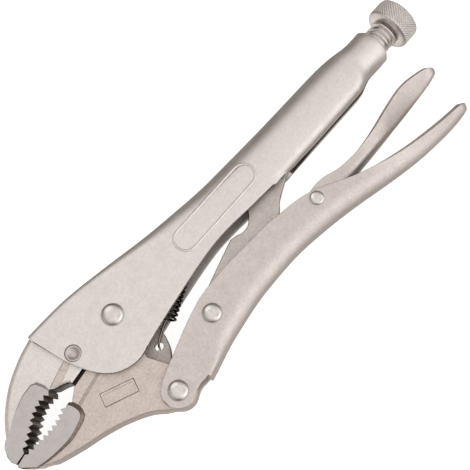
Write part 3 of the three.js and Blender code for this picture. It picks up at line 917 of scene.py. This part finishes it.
def toggle_link():
    pivot_end = arc(LINK_PIVOT, LINK_EYE_RADIUS, 107, 288, 20)
    under = smooth_path([(66, -26), (77.4, -22.6), (79.5, -20.6), (82.9, -18.3), (91.1, -14.4)], 12)
    nose = arc(NOSE_CENTRE, NOSE_RADIUS, -66, 100, 16)
    over = [(90, 0.2), (76, -4.4)] + smooth_path([(70.5, -10), (68, -13.2), (64.5, -15.9), (60.6, -16.2),
                                                  (58.6, -15.3), (55, -14.4)], 16)
    outline = pivot_end + under + nose + over
    piece = plate("toggle_link_bar", [(outline, 0.5, 0.5)], HALF_LINK, LINK)
    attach(piece, "link")
    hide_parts("toggle_link")


# ---- Rivets and plug ----

RIVET_LIFT = 0.02  # keeps the head just clear of the wall
RIVET_RIM = 0.18
RIVET_UNDERCUT = 0.1
SHANK_DEPTH = 1
DOME_FULLNESS = 0.75  # 1 is an ellipse, less is flatter on top
RIVETS = [  # node, body, head radius, head height
    ("jaw_pivot_rivet", "frame", 4.7, 1.9),
    ("handle_pivot_rivet", "handle", 4.2, 1.7),
    ("link_rivet", "handle", 4.1, 1.7),
    ("lever_rivet", "handle", 3.1, 1.1),
]
PLUG_PROFILE = [  # radius, height
    (0, 7.5), (0.9, 7.6), (1.7, 7.85), (2.3, 8.3), (2.75, 8.6), (3.15, 8.62), (3.4, 8.35), (3.42, 7.2),
]


def rivet(node, body, radius, height):
    """Two domed heads on a shank, each with a thin upset rim."""
    seat = HALF_WIDTH + RIVET_LIFT
    shank, inner = radius - RIVET_UNDERCUT, seat - SHANK_DEPTH
    dome = 0.985 * radius
    profile = [(0.0, inner), (shank, inner), (shank, seat), (radius, seat + RIVET_RIM / 2)]
    steps = 12
    for k in range(steps + 1):
        a = math.radians(90 * k / steps)
        rise = RIVET_RIM + (height - RIVET_RIM) * math.sin(a)
        profile.append((dome * math.cos(a) ** DOME_FULLNESS, seat + rise))
    piece = turned_pair(node + "_heads", centre_of(node), profile, RIVET)
    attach(piece, body)
    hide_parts(node)


def jaw_plug():
    """The dished ends of the plug, sunk a little below the handle's walls."""
    piece = turned_pair("fixed_jaw_plug_dish", PLUG_CENTRE, PLUG_PROFILE, LINK)
    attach(piece, "frame")
    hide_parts("fixed_jaw_plug")


# ---- Adjusting screw and knob ----

SCREW_TIP = 114.7
SCREW_POINT, POINT_CHAMFER = 0.8, 0.6
SCREW_SIDES = 56
STEPS_PER_PITCH = 8
THREAD_END = 170.2
THREAD_RUN_IN, THREAD_RUN_OUT = 1.5, 0.8
THREAD_ROOT = SCREW_RADIUS - THREAD_DEPTH
CREST_FLAT, FLANK_SLOPE = 1.35, 3.4
NECK = [  # back from the knob, radius
    (2.0, THREAD_ROOT + 0.1), (1.9, SCREW_RADIUS + 0.1), (1.65, SCREW_RADIUS + 0.4),
    (1.0, SCREW_RADIUS + 0.4), (0.8, SCREW_RADIUS), (0.7, THREAD_ROOT - 0.2),
    (0.3, THREAD_ROOT - 0.2), (0.3, 0.0),
]
KNURL_DEPTH = 0.75
KNURL_COUNT = 48
KNURL_START, KNURL_END = KNOB_START + 1.9, KNOB_END - 0.7
KNOB_SIDES = 8 * KNURL_COUNT
KNOB_SHOULDER = [  # past the knob's start, radius
    (0, 0), (0, 5.6), (0.1, 7.2), (0.3, 8.4), (0.7, 9.4), (1.2, 10.0), (1.7, 10.3),
]
KNOB_RIM = [  # back from the knob's end, in from its radius
    (0.5, 0.4), (0.15, 0.9), (0, 1.6), (0, KNOB_RADIUS - 4), (0, KNOB_RADIUS),
]


def adjusting_screw():
    """A right-hand thread: each angle's column of points is the last one, moved along a little."""
    count = int((THREAD_END - SCREW_TIP) / THREAD_PITCH * STEPS_PER_PITCH)
    columns = []
    for k in range(SCREW_SIDES):
        column = [(SCREW_TIP, 0.0), (SCREW_TIP, THREAD_ROOT - POINT_CHAMFER)]
        for i in range(count + 1):
            x = SCREW_TIP + SCREW_POINT + i * THREAD_PITCH / STEPS_PER_PITCH
            phase = ((x - SCREW_TIP) / THREAD_PITCH - k / SCREW_SIDES) % 1
            wave = min(1.0, max(0.0, CREST_FLAT - abs(phase - 0.5) * FLANK_SLOPE))
            fade = min(1.0, (x - SCREW_TIP) / THREAD_RUN_IN, max(0.0, (THREAD_END - x) / THREAD_RUN_OUT))
            column.append((x, THREAD_ROOT + THREAD_DEPTH * wave * fade))
        column.append((THREAD_END + 0.4, THREAD_ROOT))
        column += [(KNOB_START - back, radius) for back, radius in NECK]
        columns.append(column)
    piece = turned_about_screw("adjusting_screw_thread", columns)
    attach(piece, "screw")
    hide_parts("adjusting_screw")


def knurled_column(angle):
    """The knob's profile at one angle: a plain shoulder, crossed helical grooves, a plain rim."""
    around = angle * KNURL_COUNT / (2 * math.pi)
    rows = 56
    column = [(KNOB_START + past, radius) for past, radius in KNOB_SHOULDER]
    for i in range(rows + 1):
        x = mix(KNURL_START, KNURL_END, i / rows)
        along = (x - KNURL_START) * KNURL_COUNT / (2 * math.pi * KNOB_RADIUS)
        one = abs(((around + along) % 1) - 0.5) * 2
        two = abs(((around - along) % 1) - 0.5) * 2
        column.append((x, KNOB_RADIUS - KNURL_DEPTH * (1 - min(one, two)) ** 1.6))
    return column + [(KNOB_END - back, KNOB_RADIUS - inward) for back, inward in KNOB_RIM]


def in_groove(middle, normal):
    """Chooses the deeper parts of the knurl, which are painted darker as shade."""
    out = math.hypot(middle[1] - SCREW_Y, middle[2])
    return KNURL_START < middle[0] < KNURL_END and out < KNOB_RADIUS - 0.85 * KNURL_DEPTH


def screw_knob():
    piece = turned_about_screw("screw_knob_knurled", [
        knurled_column(2 * math.pi * k / KNOB_SIDES) for k in range(KNOB_SIDES)
    ])
    # The knurl's grooves are painted darker as shade.
    painted(piece, DARK_FORGING_AND_SHADE, in_groove)
    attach(piece, "knob")
    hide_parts("screw_knob")


# ---- Return spring ----

def tube(name, path, radius, material):
    """A round wire along a path."""
    vertices = []
    count = len(path)
    sides = 10
    normal = Vector((0, 0, 1))
    for i, point in enumerate(path):
        ahead = Vector(path[min(i + 1, count - 1)]) - Vector(path[max(i - 1, 0)])
        ahead.normalize()
        normal = (normal - ahead * normal.dot(ahead)).normalized()
        side = ahead.cross(normal)
        for k in range(sides):
            a = 2 * math.pi * k / sides
            vertices.append(tuple(Vector(point) + (normal * math.cos(a) + side * math.sin(a)) * radius))
    faces = grid_faces(count, sides, closed_columns=True)
    faces += end_caps(count, sides)
    return cleaned(new_object(name, vertices, faces, material))


def return_spring():
    eye, anchor = Vector((*SPRING_EYE, 0)), Vector((*SPRING_ANCHOR, 0))
    along = (anchor - eye).normalized()
    across = Vector((-along.y, along.x, 0))
    length = (anchor - eye).length
    coil_start, coil_end = 11.0, length - 8
    radius, wire = 2.9, 0.48
    turns, steps = 20, 20

    def place(forward, sideways, height):
        return tuple(eye + along * forward + across * sideways + Vector((0, 0, height)))

    hook = smooth_path([
        place(-0.9, 0, -HALF_JAW * 0.6), place(-0.3, 0, -1.6), place(-0.1, 0, 1.4), place(0.6, 0.1, 3.2),
        place(3.2, 0.4, 3.4), place(7.0, 0.5, 3.1), place(coil_start - 1.2, 0.4, radius),
        place(coil_start, 0.0, radius),
    ], 50)
    coil = []
    for i in range(turns * steps + 1):
        angle = 2 * math.pi * i / steps
        forward = mix(coil_start, coil_end, i / (turns * steps))
        coil.append(place(forward, radius * math.sin(angle), radius * math.cos(angle)))
    tail = smooth_path([coil[-1], place(coil_end + 2.5, 0, 1.6), place(length - 1.2, 0, 0.6),
                        place(length + 0.2, 0.3, 0)], 20)
    parts = [("return_spring_hook", hook, HOOK), ("return_spring_coil", coil + tail[1:], SPRING)]
    for name, path, material in parts:
        piece = tube(name, path, wire, material)
        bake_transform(piece)
        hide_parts("return_spring")


upper_handle()
lower_handle()
release_lever()
fixed_jaw()
moving_jaw()
toggle_link()
for node, body, radius, height in RIVETS:
    rivet(node, body, radius, height)
jaw_plug()
adjusting_screw()
screw_knob()
return_spring()


# ---- Studio ----

SOFT_PATCHES = [  # direction, the cosine at its edge, the light added or taken at its middle
    ((0.45, -0.72, 0.53), 0.5, 0.8),
    ((0.25, -0.95, 0.2), 0.55, 0.6),
    ((-0.75, 0.4, -0.4), 0.3, 0.62),
    ((0.1, 0.68, 0.72), 0.9, 0.9),
    ((0.1, 0.97, 0.25), 0.3, -0.1),
    ((0.3, -0.35, 0.89), 0.93, -0.7),
]
LENS = 65.4
CAMERA_PLACE = (-7.9, -87.9, 344)
CAMERA_TARGET = (58.4, -14.0, 0)
UPWARD = (0.757, 0.653, 0)  # the direction along the table that the camera holds upright


def floor():
    """A white table, lit from within so that it stays white beside the tool."""
    size = 12.0  # metres
    mesh = bpy.data.meshes.new("floor")
    corners = [(-size, -size, 0), (size, -size, 0), (size, size, 0), (-size, size, 0)]
    mesh.from_pydata(corners, [], [(0, 1, 2, 3)])
    obj = bpy.data.objects.new("floor", mesh)
    bpy.context.scene.collection.objects.link(obj)
    material, tree, shader = nodes_of("white floor")
    shader.inputs["Roughness"].default_value = 0.9
    shader.inputs["Base Color"].default_value = (0.5, 0.5, 0.5, 1)
    shader.inputs["Emission Color"].default_value = (1, 1, 1, 1)
    shader.inputs["Emission Strength"].default_value = 0.85
    mesh.materials.append(material)
    obj.visible_glossy = False
    obj.visible_diffuse = False


def soft_patch(tree, looking, direction, edge, strength):
    """How much one patch of the tent adds, looking along a direction."""
    dot = tree.nodes.new("ShaderNodeVectorMath")
    dot.operation = "DOT_PRODUCT"
    dot.inputs[1].default_value = Vector(direction).normalized()
    tree.links.new(looking, dot.inputs[0])
    fall = tree.nodes.new("ShaderNodeMapRange")
    fall.interpolation_type = "SMOOTHSTEP"
    fall.inputs["From Min"].default_value = edge
    fall.inputs["From Max"].default_value = 1.0
    fall.inputs["To Max"].default_value = strength
    tree.links.new(dot.outputs["Value"], fall.inputs["Value"])
    return fall.outputs["Result"]


def studio():
    """A tent that is pale overhead and dark along the horizon, with soft patches of light and shade."""
    world = bpy.data.worlds.new("studio")
    world.use_nodes = True
    tree = world.node_tree
    background = tree.nodes["Background"]
    looking = tree.nodes.new("ShaderNodeTexCoord").outputs["Generated"]
    split = tree.nodes.new("ShaderNodeSeparateXYZ")
    tree.links.new(looking, split.inputs["Vector"])
    height = tree.nodes.new("ShaderNodeMapRange")
    height.inputs["From Min"].default_value = -1.0
    tree.links.new(split.outputs["Z"], height.inputs["Value"])
    color = ramp(tree, height.outputs["Result"], [
        (0.0, (0.6, 0.565, 0.54)), (0.2, (0.4, 0.37, 0.345)), (0.42, (0.2, 0.175, 0.155)),
        (0.58, (0.22, 0.2, 0.18)), (0.75, (0.35, 0.325, 0.305)), (1.0, (1.19, 1.165, 1.145)),
    ])
    for direction, edge, strength in SOFT_PATCHES:
        add = tree.nodes.new("ShaderNodeVectorMath")
        tree.links.new(color, add.inputs[0])
        tree.links.new(soft_patch(tree, looking, direction, edge, strength), add.inputs[1])
        color = add.outputs["Vector"]
    tree.links.new(color, background.inputs["Color"])
    bpy.context.scene.world = world
    bpy.context.scene.view_settings.view_transform = "Standard"


def camera():
    """Looks down from over the lower side, with the tool lying across the picture."""
    data = bpy.data.cameras.new("camera")
    data.sensor_width = 36
    data.lens = LENS
    obj = bpy.data.objects.new("camera", data)
    bpy.context.scene.collection.objects.link(obj)
    place = at(*CAMERA_PLACE)
    forward = (at(*CAMERA_TARGET) - place).normalized()
    right = forward.cross(Vector(UPWARD)).normalized()
    up = right.cross(forward)
    obj.matrix_world = Matrix((
        (right.x, up.x, -forward.x, place.x),
        (right.y, up.y, -forward.y, place.y),
        (right.z, up.z, -forward.z, place.z),
        (0, 0, 0, 1),
    ))
    data.clip_start = 0.01
    bpy.context.scene.camera = obj


floor()
studio()
camera()
